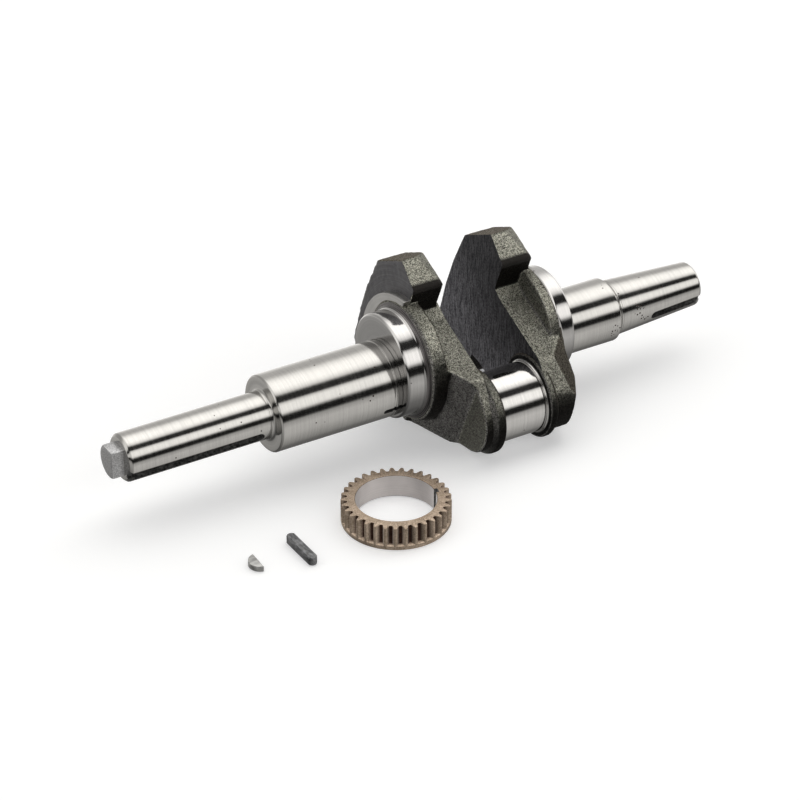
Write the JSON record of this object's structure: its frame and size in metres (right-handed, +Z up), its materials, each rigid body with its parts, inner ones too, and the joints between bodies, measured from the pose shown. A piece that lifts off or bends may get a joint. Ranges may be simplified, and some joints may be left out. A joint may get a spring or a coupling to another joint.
{
  "type": "single-cylinder engine crankshaft",
  "caption": "One-piece single-throw crankshaft with keyed output shaft, balancer eccentrics, counterweights and tapered flywheel end, with its loose timing gear and keys.",
  "frame": {"origin": "on the floor under the middle of the whole kit's bounding box", "axes": "+X along the crankshaft's main axis towards the tapered flywheel end, +Z up, +Y towards the counterweights and away from the loose gear and keys"},
  "size_m": [0.3526, 0.155, 0.0985],
  "materials": {
    "crankshaft": "ground journals, rough cast webs",
    "timing_gear": "sintered, bronze brown, matte",
    "timing_key": "satin",
    "flywheel_key": "black oxide"
  },
  "bodies": {
    "crankshaft": {"crankshaft": "crankshaft"},
    "timing_gear": {"timing_gear": "timing_gear"},
    "timing_key": {"timing_key": "timing_key"},
    "flywheel_key": {"flywheel_key": "flywheel_key"}
  },
  "joints": [
    {"name": "timing_gear_lift", "type": "slide", "parent": "crankshaft", "child": "timing_gear", "axis": [0, 0, 1], "range_m": [0, 0.15]},
    {"name": "timing_key_lift", "type": "slide", "parent": "crankshaft", "child": "timing_key", "axis": [0, 0, 1], "range_m": [0, 0.15]},
    {"name": "flywheel_key_lift", "type": "slide", "parent": "crankshaft", "child": "flywheel_key", "axis": [0, 0, 1], "range_m": [0, 0.15]}
  ]
}
